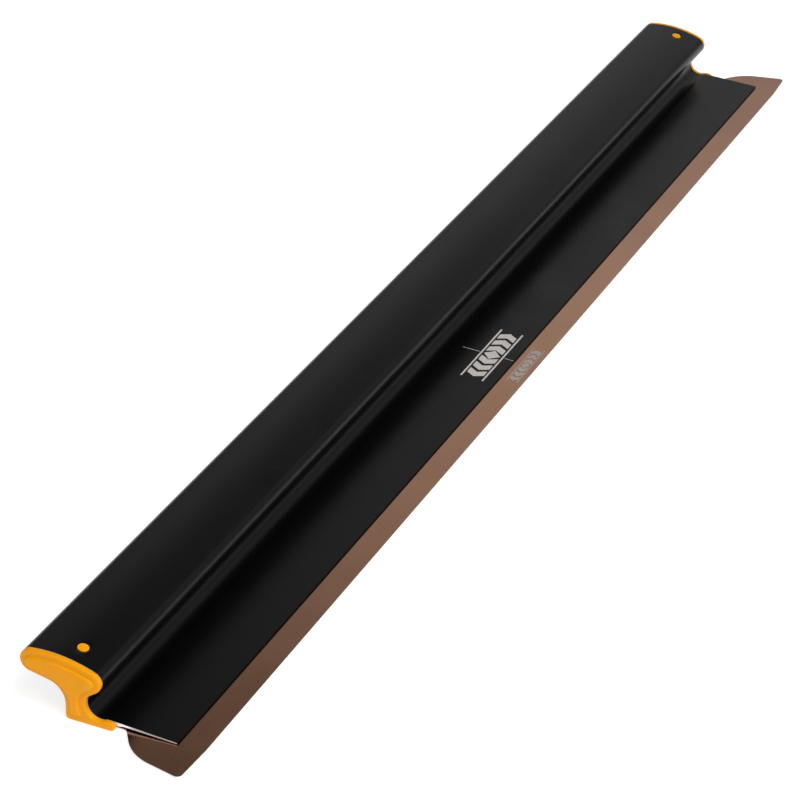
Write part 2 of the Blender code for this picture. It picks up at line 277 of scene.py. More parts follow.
def draw_sill(pen, inset):
    """The soft ridge between the front panel and the finger groove, and where the groove starts."""
    end = bearing(SILL_CENTRE, GROOVE_CENTRE)
    pen.turn(SILL_CENTRE, SILL_RADIUS - inset, PANEL_NORMAL, end, 8)
    return end - 180


def draw_handle(pen):
    """The whole section of the extrusion: panel, palm rest, neck, foot, slot and cavity."""
    front_low = (PANEL_FRONT_Y + PANEL_CORNER, SLOT_TOP + PANEL_CORNER)
    front_high = (PANEL_FRONT_Y + PANEL_CORNER, SLOT_TOP + PANEL_EDGE - PANEL_CORNER)
    pen.turn(front_low, PANEL_CORNER, 270, 180, 6)
    pen.turn(front_high, PANEL_CORNER, 180, PANEL_NORMAL, 6)
    pen.flat_run(on_circle(SILL_CENTRE, SILL_RADIUS, PANEL_NORMAL))
    draw_head(pen, 0, draw_sill(pen, 0), HOLLOW_END)
    pen.flat_run((HEEL_Y, HEEL_RADIUS))
    pen.turn((HEEL_Y - HEEL_RADIUS, HEEL_RADIUS), HEEL_RADIUS, 0, -90, 12)
    pen.flat_run((LIP_Y + LIP_RADIUS, 0))
    pen.turn((LIP_Y + LIP_RADIUS, LIP_RADIUS), LIP_RADIUS, -90, -180, 8)
    pen.to((LIP_Y, LIP_TOP), (CAVITY[1], LIP_TOP), (CAVITY[1], CAVITY_TOP))
    pen.to((CAVITY[0], CAVITY_TOP), (CAVITY[0], SLOT_TOP), (SLOT_Y, SLOT_TOP), PANEL_RAMP)
    pen.flat_run(on_circle(front_low, PANEL_CORNER, 270))


def draw_chamber(pen, inset, floor):
    """The hollow of the palm rest and neck, down to a flat floor."""
    drop = (floor - GROOVE_CENTRE[1]) / (GROOVE_RADIUS + inset)
    draw_head(pen, inset, degrees(atan2(drop, sqrt(1 - drop**2))), 180)
    pen.to((HOLLOW_CENTRE[0] - HOLLOW_RADIUS - inset, floor))


def draw_flange(pen, inset):
    """The section behind the panel with a round tip, as the flange of a cap covers it."""
    draw_head(pen, inset, draw_sill(pen, inset), HOLLOW_END)
    pen.flat_run((HEEL_Y - inset, HEEL_RADIUS))
    pen.turn((HEEL_Y - HEEL_RADIUS, HEEL_RADIUS), HEEL_RADIUS - inset, 0, -90, 12)
    pen.flat_run((TIP_CENTRE[0], inset))
    pen.turn(TIP_CENTRE, TIP_CENTRE[1] - inset, -90, PANEL_NORMAL - 360, 24)


def draw_face(pen, inset):
    """The raised face of a cap, over the palm rest and neck, with round corners at its foot."""
    low = FACE_FOOT_Z + FACE_CORNER
    reach = GROOVE_RADIUS + FACE_INSET + FACE_CORNER
    front = (GROOVE_CENTRE[0] + sqrt(reach**2 - (low - GROOVE_CENTRE[1]) ** 2), low)
    back = (HOLLOW_CENTRE[0] - HOLLOW_RADIUS - FACE_INSET - FACE_CORNER, low)
    corner = FACE_CORNER + FACE_INSET - inset
    draw_head(pen, inset, bearing(GROOVE_CENTRE, front), 180)
    pen.turn(back, corner, 0, -90, 10)
    pen.turn(front, corner, -90, bearing(front, GROOVE_CENTRE) - 360, 10)


def draw_blade(pen):
    """Seen from above: a straight edge between two round ears, and a back that fits the handle."""
    corner = (BLADE_HALF - EAR_CORNER_RADIUS, EDGE_RELIEF + EAR_CORNER_RADIUS)
    low, high = FLANK_ARC
    step_in = FLANK_RADIUS - EAR_CORNER_RADIUS
    rise = (corner[1] - FLANK_Y) * sin(radians(low))
    flank = (corner[0] - (step_in - rise) / cos(radians(low)), FLANK_Y)
    end = HANDLE_HALF - GAP
    shoulder_x = end + SHOULDER_RADIUS
    reach = FLANK_RADIUS + SHOULDER_RADIUS
    along = (reach - (shoulder_x - flank[0]) * cos(radians(high))) / sin(radians(high))
    shoulder = (shoulder_x, FLANK_Y + along)
    back = CAVITY[1] - GAP

    pen.to((BLADE_HALF - EDGE_RELIEF_LENGTH, 0))
    pen.turn(corner, EAR_CORNER_RADIUS, -87, 0, 16)
    pen.turn(flank, FLANK_RADIUS, low, high, 32)
    pen.turn(shoulder, SHOULDER_RADIUS, high + 180, 180, 16)
    pen.to((end, back), (-end, back))
    pen.turn((-shoulder[0], shoulder[1]), SHOULDER_RADIUS, 0, -high, 16)
    pen.turn((-flank[0], flank[1]), FLANK_RADIUS, 180 - high, 180 - low, 32)
    pen.turn((-corner[0], corner[1]), EAR_CORNER_RADIUS, 180, 267, 16)
    pen.to((EDGE_RELIEF_LENGTH - BLADE_HALF, 0))


def button_frame(side):
    """Place and tilt of a latch button: on the palm rest's surface, Z straight out of it."""
    normal_angle = acos((BUTTON_Y - TOP_CENTRE[0]) / TOP_RADIUS)
    surface_y, surface_z = on_circle(TOP_CENTRE, TOP_RADIUS, degrees(normal_angle))
    place = Vector((side * (HANDLE_HALF - BUTTON_INSET), surface_y - DEPTH / 2, surface_z))
    return Matrix.Translation(place) @ Matrix.Rotation(normal_angle - pi / 2, 4, "X")


# ---------------------------------------------------------------- mesh helpers


def loop_edges(shape, verts):
    """The edges of a closed outline."""
    return [shape.edges.get(pair) for pair in zip(verts, verts[1:] + verts[:1])]


def of_kind(kind, parts):
    """The vertices, edges or faces among the parts that an operator made."""
    return [part for part in parts if isinstance(part, kind)]


def nearest(vert, others):
    """Index of the vertex that lies nearest."""
    return min(range(len(others)), key=lambda i: (others[i].co - vert.co).length_squared)


def fill_ring(shape, outer, inner):
    """Fill the flat space between two outlines with two faces, cut apart where they come close."""
    start = min(
        range(len(inner)), key=lambda i: (outer[nearest(inner[i], outer)].co - inner[i].co).length
    )
    inner = inner[start:] + inner[:start]
    first = nearest(inner[0], outer)
    outer = outer[first:] + outer[:first]
    half = len(inner) // 2
    second = nearest(inner[half], outer)
    for ends in ((outer[0], inner[0]), (outer[second], inner[half])):
        shape.edges.new(ends)
    sides = (
        outer[: second + 1] + inner[half::-1],
        outer[second:] + outer[:1] + inner[:1] + inner[: half - 1 : -1],
    )
    return [shape.faces.new(side) for side in sides]


def push(shape, faces, travel, keep=False):
    """Extrude faces along a vector and give the faces at the far end."""
    edges = {edge for face in faces for edge in face.edges}
    made = bmesh.ops.extrude_face_region(shape, geom=[*faces, *edges], use_keep_orig=keep)["geom"]
    bmesh.ops.translate(shape, vec=travel, verts=of_kind(bmesh.types.BMVert, made))
    return of_kind(bmesh.types.BMFace, made)


def outline_spots(draw, x, *values):
    """The places of an outline's vertices at a place along the blade."""
    scratch = bmesh.new()
    pen = section_pen(scratch, x)
    draw(pen, *values)
    spots = [vert.co.copy() for vert in pen.verts]
    scratch.free()
    return spots


def skin(shape, outlines):
    """Draw the first of a row of outlines and extrude its edges to each next one. Gives the
    vertices of the first and the last."""
    (draw, *values), *others = outlines
    pen = section_pen(shape, values[0])
    draw(pen, *values[1:])
    first = last = pen.close()
    for draw, *values in others:
        made = bmesh.ops.extrude_edge_only(shape, edges=loop_edges(shape, last))["geom"]
        fresh = set(of_kind(bmesh.types.BMVert, made))
        grown = []
        for vert, spot in zip(last, outline_spots(draw, *values)):
            ends = [edge.other_vert(vert) for edge in vert.link_edges]
            grown.append(next(end for end in ends if end in fresh))
            grown[-1].co = spot
        last = grown
    return first, last


def soften(shape, edges, width, segments):
    """Round edges over."""
    bmesh.ops.bevel(
        shape,
        geom=edges,
        offset=width,
        offset_type="OFFSET",
        segments=segments,
        profile=0.5,
        affect="EDGES",
        clamp_overlap=True,
        material=-1,
    )


def set_shading(mesh):
    """Smooth shading between crisp edges."""
    mesh.polygons.foreach_set("use_smooth", [True] * len(mesh.polygons))
    mesh.set_sharp_from_angle(angle=SMOOTH_ANGLE)


def piece_from(shape, name, *materials):
    """Turn a closed bmesh into an object with outward normals and crisp edges."""
    bmesh.ops.remove_doubles(shape, verts=shape.verts, dist=0.001 * MM)
    bmesh.ops.recalc_face_normals(shape, faces=shape.faces)
    mesh = bpy.data.meshes.new(name)
    shape.to_mesh(mesh)
    shape.free()
    for material in materials:
        mesh.materials.append(material)
    set_shading(mesh)
    piece = bpy.data.objects.new(name, mesh)
    bpy.context.scene.collection.objects.link(piece)
    return piece


def combine(piece, tool, operation):
    """Cut a tool out of a piece or add it on, and keep only the result."""
    modifier = piece.modifiers.new("combine", "BOOLEAN")
    modifier.operation = operation
    modifier.solver = "EXACT"
    modifier.object = tool
    bpy.context.view_layer.update()
    result = bpy.data.meshes.new_from_object(
        piece.evaluated_get(bpy.context.evaluated_depsgraph_get())
    )
    piece.modifiers.remove(modifier)
    old = piece.data
    name = old.name
    piece.data = result
    bpy.data.meshes.remove(old)
    result.name = name
    set_shading(result)
    bpy.data.objects.remove(tool, do_unlink=True)


def mirrored(piece, name):
    """A copy of a piece at the other end of the handle."""
    shape = bmesh.new()
    shape.from_mesh(piece.data)
    bmesh.ops.scale(shape, vec=(-1, 1, 1), verts=shape.verts)
    return piece_from(shape, name, *piece.data.materials)


def install(piece, body, slot, *nodes):
    """Put a piece on its body and in place of its CAD nodes. The slot it is given is not used."""
    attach(piece, body)
    if nodes:
        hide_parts(*nodes)


def round_over(radius, steps, quarter):
    """Points of a quarter circle as (along the first leg, along the second leg)."""
    angles = [pi / 2 * i / steps for i in range(steps + 1)]
    if quarter == "convex":
        return [(radius * (1 - cos(a)), radius * sin(a)) for a in angles]
    return [(radius * sin(a), radius * (1 - cos(a))) for a in angles]


# ---------------------------------------------------------------- node helpers


def add_node(tree, kind, **settings):
    node = tree.nodes.new(kind)
    for name, value in settings.items():
        setattr(node, name, value)
    return node


def feed(tree, value, socket):
    """Wire an output into a socket, or set the socket to a plain value."""
    if isinstance(value, bpy.types.NodeSocket):
        tree.links.new(value, socket)
    else:
        socket.default_value = value


def feed_all(tree, node, **values):
    """Feed a node's inputs by name, with underscores for spaces."""
    for label, value in values.items():
        feed(tree, value, node.inputs[label.replace("_", " ")])


def math_node(tree, operation, *values):
    node = add_node(tree, "ShaderNodeMath", operation=operation)
    for socket, value in zip(node.inputs, values):
        feed(tree, value, socket)
    return node.outputs[0]


def mix_colours(tree, mask, first, second):
    node = add_node(tree, "ShaderNodeMix", data_type="RGBA", clamp_factor=True)
    for name, value in (("Factor", mask), ("A", first), ("B", second)):
        feed(tree, value, next(s for s in node.inputs if s.name == name and s.enabled))
    return next(s for s in node.outputs if s.enabled)


def remap(tree, value, low, high, to_low=0.0, to_high=1.0):
    node = add_node(tree, "ShaderNodeMapRange", clamp=True)
    feed_all(
        tree, node, Value=value, From_Min=low, From_Max=high, To_Min=to_low, To_Max=to_high
    )
    return node.outputs["Result"]


def new_group(name, inputs, outputs):
    """A shader node group with named sockets. Inputs are (name, kind, default)."""
    tree = bpy.data.node_groups.new(name, "ShaderNodeTree")
    for label, kind, default in inputs:
        socket = tree.interface.new_socket(label, in_out="INPUT", socket_type=kind)
        if default is not None:
            socket.default_value = default
    for label, kind in outputs:
        tree.interface.new_socket(label, in_out="OUTPUT", socket_type=kind)
    return tree, add_node(tree, "NodeGroupInput"), add_node(tree, "NodeGroupOutput")


def place_group(tree, name, **values):
    node = add_node(tree, "ShaderNodeGroup", node_tree=bpy.data.node_groups[name])
    feed_all(tree, node, **values)
    return node


def noise(tree, vector, scale, detail, roughness):
    node = add_node(tree, "ShaderNodeTexNoise")
    feed_all(tree, node, Vector=vector, Scale=scale, Detail=detail, Roughness=roughness)
    return node.outputs["Fac"]


def build_grain_group():
    """Fine pitted grain, as on etched and anodised metal or spark-eroded plastic."""
    tree, start, end = new_group(
        "fine_grain",
        [("Vector", "NodeSocketVector", None), ("Size", "NodeSocketFloat", 0.5)],
        [("Grain", "NodeSocketFloat"), ("Speckle", "NodeSocketFloat")],
    )
    frequency = math_node(tree, "DIVIDE", 1000.0, start.outputs["Size"])
    fine = noise(tree, start.outputs["Vector"], frequency, 2.0, 0.6)
    coarse_frequency = math_node(tree, "MULTIPLY", frequency, 0.23)
    coarse = noise(tree, start.outputs["Vector"], coarse_frequency, 3.0, 0.55)
    both = math_node(tree, "MULTIPLY_ADD", fine, 0.5, math_node(tree, "MULTIPLY", coarse, 0.5))
    feed_all(tree, end, Grain=both, Speckle=remap(tree, fine, 0.58, 0.75))


def build_drawn_group():
    """Long fine lines along X, as a die, a mill or an abrasive belt leaves them."""
    tree, start, end = new_group(
        "drawn_lines",
        [
            ("Vector", "NodeSocketVector", None),
            ("Spacing", "NodeSocketFloat", 0.5),
            ("Length", "NodeSocketFloat", 60.0),
        ],
        [("Lines", "NodeSocketFloat")],
    )
    split = add_node(tree, "ShaderNodeSeparateXYZ")
    feed_all(tree, split, Vector=start.outputs["Vector"])
    frequency = math_node(tree, "DIVIDE", 1000.0, start.outputs["Spacing"])
    slow = math_node(tree, "DIVIDE", 1000.0, start.outputs["Length"])
    join = add_node(tree, "ShaderNodeCombineXYZ")
    for axis, factor in (("X", slow), ("Y", frequency), ("Z", frequency)):
        feed(tree, math_node(tree, "MULTIPLY", split.outputs[axis], factor), join.inputs[axis])
    feed_all(tree, end, Lines=noise(tree, join.outputs[0], 1.0, 3.0, 0.6))


def build_handling_group():
    """Broad, faint unevenness from handling and from the finish itself."""
    tree, start, end = new_group(
        "handling",
        [("Vector", "NodeSocketVector", None), ("Patch", "NodeSocketFloat", 40.0)],
        [("Clouds", "NodeSocketFloat"), ("Smudge", "NodeSocketFloat")],
    )
    frequency = math_node(tree, "DIVIDE", 1000.0, start.outputs["Patch"])
    clouds = noise(tree, start.outputs["Vector"], frequency, 4.0, 0.55)
    smudge = remap(tree, clouds, 0.56, 0.72)
    feed_all(tree, end, Clouds=remap(tree, clouds, 0.3, 0.7), Smudge=smudge)


def start_material(name):
    """The node tree of a new material, its shader and the coordinates that its patterns read."""
    material = bpy.data.materials.new(name)
    material.use_nodes = True
    tree = material.node_tree
    place = add_node(tree, "ShaderNodeTexCoord").outputs["Object"]
    return tree, tree.nodes["Principled BSDF"], place


def add_bump(tree, shader, height, strength, distance):
    bump = add_node(tree, "ShaderNodeBump")
    feed_all(tree, bump, Strength=strength, Distance=distance, Height=height)
    feed_all(tree, shader, Normal=bump.outputs["Normal"])


def shade(colour, amount):
    """The same colour, lighter or darker."""
    return (*(min(1.0, c * amount) for c in colour), 1.0)


def clouded(tree, marks, colour, dark, light):
    """A colour that drifts between two of its shades in broad patches."""
    return mix_colours(tree, marks.outputs["Clouds"], shade(colour, dark), shade(colour, light))


def uneven(tree, pattern, low, high):
    """A roughness that follows a pattern."""
    return remap(tree, pattern, 0.3, 0.7, low, high)


def smudged(tree, rough, marks, amount):
    """A roughness that changes where the surface has been handled."""
    return math_node(
        tree, "ADD", rough, math_node(tree, "MULTIPLY", marks.outputs["Smudge"], amount)
    )


def anodised_material(colour):
    tree, shader, place = start_material("black_anodised")
    grain = place_group(tree, "fine_grain", Vector=place, Size=0.55)
    lines = place_group(tree, "drawn_lines", Vector=place, Spacing=1.4, Length=300.0)
    marks = place_group(tree, "handling", Vector=place, Patch=70.0)
    toned = clouded(tree, marks, colour, 0.82, 1.2)
    flecked = mix_colours(tree, grain.outputs["Speckle"], toned, shade(colour, 2.6))
    rough = smudged(tree, uneven(tree, grain.outputs["Grain"], 0.27, 0.37), marks, -0.04)
    feed_all(tree, shader, Base_Color=flecked, Roughness=rough)
    feed_all(tree, shader, Metallic=0.0, IOR=1.5, Specular_IOR_Level=0.22)
    faint = math_node(tree, "MULTIPLY", lines.outputs["Lines"], 0.5)
    height = math_node(tree, "ADD", grain.outputs["Grain"], faint)
    add_bump(tree, shader, height, 0.35, 0.05 * MM)


def cut_metal_material(colour):
    tree, shader, place = start_material("cut_aluminium")
    turn = add_node(tree, "ShaderNodeMapping")
    feed_all(tree, turn, Vector=place, Rotation=(0.0, 0.35, pi / 2))
    turned = turn.outputs["Vector"]
    group = place_group(tree, "drawn_lines", Vector=turned, Spacing=0.3, Length=20.0)
    lines = group.outputs["Lines"]
    tone = mix_colours(tree, lines, shade(colour, 0.85), shade(colour, 1.1))
    rough = uneven(tree, lines, 0.42, 0.6)
    feed_all(tree, shader, Base_Color=tone, Roughness=rough, Metallic=0.35)
    add_bump(tree, shader, lines, 0.4, 0.03 * MM)


def bronze_material(name, colour):
    tree, shader, place = start_material(name)
    group = place_group(tree, "drawn_lines", Vector=place, Spacing=0.35, Length=90.0)
    lines = group.outputs["Lines"]
    marks = place_group(tree, "handling", Vector=place, Patch=55.0)
    streaks = remap(tree, lines, 0.35, 0.65, 0.0, 0.35)
    lined = mix_colours(
        tree, streaks, clouded(tree, marks, colour, 0.9, 1.1), shade(colour, 1.3)
    )
    rough = smudged(tree, uneven(tree, lines, 0.14, 0.2), marks, 0.03)
    feed_all(tree, shader, Base_Color=lined, Roughness=rough, Metallic=1.0)
    feed_all(tree, shader, Coat_Weight=0.35, Coat_Roughness=0.12)
    add_bump(tree, shader, lines, 0.12, 0.01 * MM)


def bare_steel_material(colour):
    tree, shader, place = start_material("ground_steel")
    group = place_group(tree, "drawn_lines", Vector=place, Spacing=0.25, Length=30.0)
    lines = group.outputs["Lines"]
    marks = place_group(tree, "handling", Vector=place, Patch=18.0)
    toned = clouded(tree, marks, colour, 0.85, 1.05)
    rough = uneven(tree, lines, 0.26, 0.42)
    feed_all(tree, shader, Base_Color=toned, Roughness=rough, Metallic=1.0)
    add_bump(tree, shader, lines, 0.3, 0.02 * MM)


def plastic_material(colour):
    tree, shader, place = start_material("moulded_yellow")
    grain = place_group(tree, "fine_grain", Vector=place, Size=0.7).outputs["Grain"]
    marks = place_group(tree, "handling", Vector=place, Patch=14.0)
    toned = clouded(tree, marks, colour, 0.96, 1.03)
    rough = smudged(tree, uneven(tree, grain, 0.2, 0.3), marks, 0.05)
    feed_all(tree, shader, Base_Color=toned, Roughness=rough, IOR=1.48, Specular_IOR_Level=0.13)
    feed_all(
        tree,
        shader,
        Subsurface_Weight=0.08,
        Subsurface_Radius=(2.0, 0.8, 0.2),
        Subsurface_Scale=1 * MM,
    )
    add_bump(tree, shader, grain, 0.12, 0.03 * MM)


def ink_material(name, colour, wear):
    tree, shader, place = start_material(name)
    grain = place_group(tree, "fine_grain", Vector=place, Size=0.4)
    marks = place_group(tree, "handling", Vector=place, Patch=6.0)
    worn = math_node(tree, "MULTIPLY", grain.outputs["Speckle"], wear)
    tone = mix_colours(tree, worn, clouded(tree, marks, colour, 0.93, 1.05), shade(colour, 0.5))
    rough = uneven(tree, grain.outputs["Grain"], 0.5, 0.65)
    feed_all(tree, shader, Base_Color=tone, Roughness=rough, Specular_IOR_Level=0.3)
    add_bump(tree, shader, grain.outputs["Grain"], 0.15, 0.01 * MM)


# ---------------------------------------------------------------- settings

LENGTH = {"precision": 5, "subtype": "DISTANCE", "unit": "LENGTH"}
COLOUR = {"min": 0.0, "max": 1.0, "size": 3, "subtype": "COLOR"}


class SkimmerSizes(bpy.types.PropertyGroup):
    """Sizes of the small shapes that finish the pieces."""

    saw_chamfer: FloatProperty(
        name="Saw chamfer",
        description="Deburred edge around the sawn ends of the handle",
        default=0.12 * MM, min=0.02 * MM, max=0.3 * MM, **LENGTH,
    )
    hole_chamfer: FloatProperty(
        name="Hole chamfer",
        description="Chamfer around the two button holes",
        default=0.3 * MM, min=0.02 * MM, max=0.4 * MM, **LENGTH,
    )
    blade_edge: FloatProperty(
        name="Blade edge",
        description="Rounding of the blade's ground edges",
        default=0.12 * MM, min=0.02 * MM, max=0.2 * MM, **LENGTH,
    )
    cap_rim: FloatProperty(
        name="Cap rim",
        description="Rounding of the cap's outer rim",
        default=1.3 * MM, min=0.3 * MM, max=1.8 * MM, **LENGTH,
    )
    face_rim: FloatProperty(
        name="Face rim",
        description="Rounding along the edge of the cap's raised face",
        default=1.1 * MM, min=0.3 * MM, max=1.3 * MM, **LENGTH,
    )
    face_fillet: FloatProperty(
        name="Face fillet",
        description="Fillet where the raised face grows out of the flange",
        default=0.7 * MM, min=0.2 * MM, max=1.2 * MM, **LENGTH,
    )
    button_dome: FloatProperty(
        name="Button dome",
        description="How far the middle of a button stands above its rim",
        default=0.2 * MM, min=0.0, max=1 * MM, **LENGTH,
    )
    mark_length: FloatProperty(
        name="Mark length",
        description="Length of the mark on the front panel",
        default=69 * MM, min=20 * MM, max=150 * MM, **LENGTH,
    )
    blade_mark_length: FloatProperty(
        name="Blade mark length",
        description="Length of the faint mark on the blade",
        default=49 * MM, min=20 * MM, max=150 * MM, **LENGTH,
    )
    mark_place: FloatProperty(
        name="Mark place",
        description="Place of the marks along the blade",
        default=-10.5 * MM, min=-0.4, max=0.4, **LENGTH,
    )
    ink_depth: FloatProperty(
        name="Ink depth",
        description="Thickness of the printed ink",
        default=0.03 * MM, min=0.01 * MM, max=0.1 * MM, **LENGTH,
    )


class SkimmerColours(bpy.types.PropertyGroup):
    """Colours of the finishes."""

    handle: FloatVectorProperty(
        name="Handle",
        description="Black anodised aluminium",
        default=(0.0008, 0.0008, 0.0009), **COLOUR,
    )
    cut_metal: FloatVectorProperty(
        name="Cut metal",
        description="Bare aluminium on the sawn ends",
        default=(0.9, 0.9, 0.91), **COLOUR,
    )
    blade: FloatVectorProperty(
        name="Blade",
        description="Bronze-toned spring steel",
        default=(0.345, 0.165, 0.093), **COLOUR,
    )
    spine: FloatVectorProperty(
        name="Spine",
        description="Bare steel of the spine and its rivets",
        default=(0.55, 0.55, 0.56), **COLOUR,
    )
    caps: FloatVectorProperty(
        name="Caps",
        description="Yellow plastic of the end caps and buttons",
        default=(0.8, 0.315, 0.0015), **COLOUR,
    )
    ink: FloatVectorProperty(
        name="Ink",
        description="Warm grey ink on the front panel",
        default=(0.5, 0.465, 0.445), **COLOUR,
    )
    blade_ink: FloatVectorProperty(
        name="Blade ink",
        description="Faint grey ink on the blade",
        default=(0.33, 0.3, 0.28), **COLOUR,
    )
    floor: FloatVectorProperty(
        name="Floor",
        description="Pale floor of the stage",
        default=(0.5, 0.5, 0.5), **COLOUR,
    )


# ---------------------------------------------------------------- operators


class SKIMMER_OT_finishes(bpy.types.Operator):
    """Make the shared node groups and every material"""

    bl_idname = "skimmer.finishes"
    bl_label = "Finishes"

    def execute(self, context):
        build_grain_group()
        build_drawn_group()
        build_handling_group()
        colours = context.scene.skimmer_colours
        anodised_material(colours.handle)
        cut_metal_material(colours.cut_metal)
        bronze_material("rolled_bronze", colours.blade)
        # A much darker bronze for the blade's side and edge faces: painted shade that draws a dark
        # outline along the blade's edges
        bronze_material("bronze_edge", shade(colours.blade, 0.15)[:3])
        bare_steel_material(colours.spine)
        plastic_material(colours.caps)
        ink_material("panel_ink", colours.ink, 0.25)
        ink_material("blade_ink", colours.blade_ink, 0.6)
        return {"FINISHED"}


class SKIMMER_OT_handle(bpy.types.Operator):
    """Build the extruded handle with its two button holes"""

    bl_idname = "skimmer.handle"
    bl_label = "Handle"

    def execute(self, context):
        sizes = context.scene.skimmer_sizes
        shape = bmesh.new()
        outline = section_pen(shape, -HANDLE_HALF)
        draw_handle(outline)
        chamber = section_pen(shape, -HANDLE_HALF)
        draw_chamber(chamber, WALL, CHAMBER_FLOOR)
        faces = fill_ring(shape, outline.close(), chamber.close())
        near, far = BUTTON_INSET - HOLE_REACH, BUTTON_INSET + HOLE_REACH
        middle = HANDLE_HALF - far
        faces = push(shape, faces, (near, 0, 0), keep=True)
        for travel in (far - near, middle, middle, far - near, near):
            faces = push(shape, faces, (travel, 0, 0))
        bmesh.ops.recalc_face_normals(shape, faces=shape.faces)
        rims = [
            edge
            for edge in shape.edges
            if abs(abs(edge.verts[0].co.x) - HANDLE_HALF) < GAP
            and abs(edge.verts[0].co.x - edge.verts[1].co.x) < GAP
            and edge.calc_face_angle(0) > CORNER_ANGLE
        ]
        soften(shape, rims, sizes.saw_chamfer, 2)
        for face in shape.faces:
            face.material_index = int(abs(face.normal.x) > 0.95)
        handle = piece_from(
            shape,
            "handle",
            bpy.data.materials["black_anodised"],
            bpy.data.materials["cut_aluminium"],
        )
        for _, side in SIDES:
            self.cut_button_hole(handle, side, sizes.hole_chamfer)
        install(handle, "handle", "black_aluminium", "handle_extrusion")
        return {"FINISHED"}

    def cut_button_hole(self, handle, side, chamfer):
        frame_here = button_frame(side)
        shape = bmesh.new()
        bmesh.ops.create_cone(
            shape,
            cap_ends=True,
            segments=64,
            radius1=BUTTON_RADIUS + GAP,
            radius2=BUTTON_RADIUS + GAP,
            depth=HOLE_REACH,
            matrix=frame_here,
        )
        combine(handle, piece_from(shape, "hole_cutter"), "DIFFERENCE")

        inverse = frame_here.inverted()
        shape = bmesh.new()
        shape.from_mesh(handle.data)
        rim = []
        for edge in shape.edges:
            ends = [inverse @ vert.co for vert in edge.verts]
            on_rim = all(
                abs(end.xy.length - BUTTON_RADIUS - GAP) < 0.05 * MM and end.z > -GAP
                for end in ends
            )
            if on_rim and edge.calc_face_angle(0) > CORNER_ANGLE:
                rim.append(edge)
        soften(shape, rim, chamfer, 3)
        shape.to_mesh(handle.data)
        shape.free()
        set_shading(handle.data)


class SKIMMER_OT_blade(bpy.types.Operator):
    """Build the blade with its round ears"""

    bl_idname = "skimmer.blade"
    bl_label = "Blade"

    def execute(self, context):
        shape = bmesh.new()
        pen = plan_pen(shape, BLADE_BOTTOM)
        draw_blade(pen)
        edges = loop_edges(shape, pen.close())
        hole_y = sum(CAVITY) / 2
        for number in range(RIVETS):
            hole = plan_pen(shape, BLADE_BOTTOM)
            place = ((number - (RIVETS - 1) / 2) * RIVET_PITCH, hole_y)
            hole.turn(place, RIVET_HOLE, 0, 337.5, 15)
            edges += loop_edges(shape, hole.close())
        made = bmesh.ops.triangle_fill(shape, edges=edges, use_beauty=True)["geom"]
        faces = of_kind(bmesh.types.BMFace, made)
        if any(len(edge.link_faces) != 1 for edge in edges):
            raise RuntimeError("The blade's outline could not be filled")
        push(shape, faces, (0, 0, BLADE_TOP - BLADE_BOTTOM), keep=True)
        bmesh.ops.recalc_face_normals(shape, faces=shape.faces)
        front = hole_y - DEPTH / 2 - RIVET_HOLE - GAP
        rims = [
            edge
            for edge in shape.edges
            if edge.calc_face_angle(0) > CORNER_ANGLE
            and abs(edge.verts[0].co.z - edge.verts[1].co.z) < GAP / 2
            and min(vert.co.y for vert in edge.verts) < front
        ]
        soften(shape, rims, context.scene.skimmer_sizes.blade_edge, 2)
        # Faces that face neither up nor down (the sides and the edge rounding) take the second
        # material, painted shade along the blade's outline
        for face in shape.faces:
            face.material_index = int(abs(face.normal.z) < 0.9)
        blade = piece_from(
            shape,
            "skimming_blade",
            bpy.data.materials["rolled_bronze"],
            bpy.data.materials["bronze_edge"],
        )
        install(blade, "handle", "bronze_steel", "blade")
        return {"FINISHED"}


class SKIMMER_OT_spine(bpy.types.Operator):
    """Finish the steel spine and rivets that hold the blade's back edge"""

    bl_idname = "skimmer.spine"
    bl_label = "Spine and rivets"

    def execute(self, context):
        steel = bpy.data.materials["ground_steel"]
        names = ["blade_spine"] + [f"spine_rivet_{n:02d}" for n in range(1, RIVETS + 1)]
        for name in names:
            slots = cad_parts[name].material_slots
            for material_slot in slots:
                material_slot.material = steel
            if not slots:
                raise RuntimeError(f"{name} has no material slot")
        return {"FINISHED"}


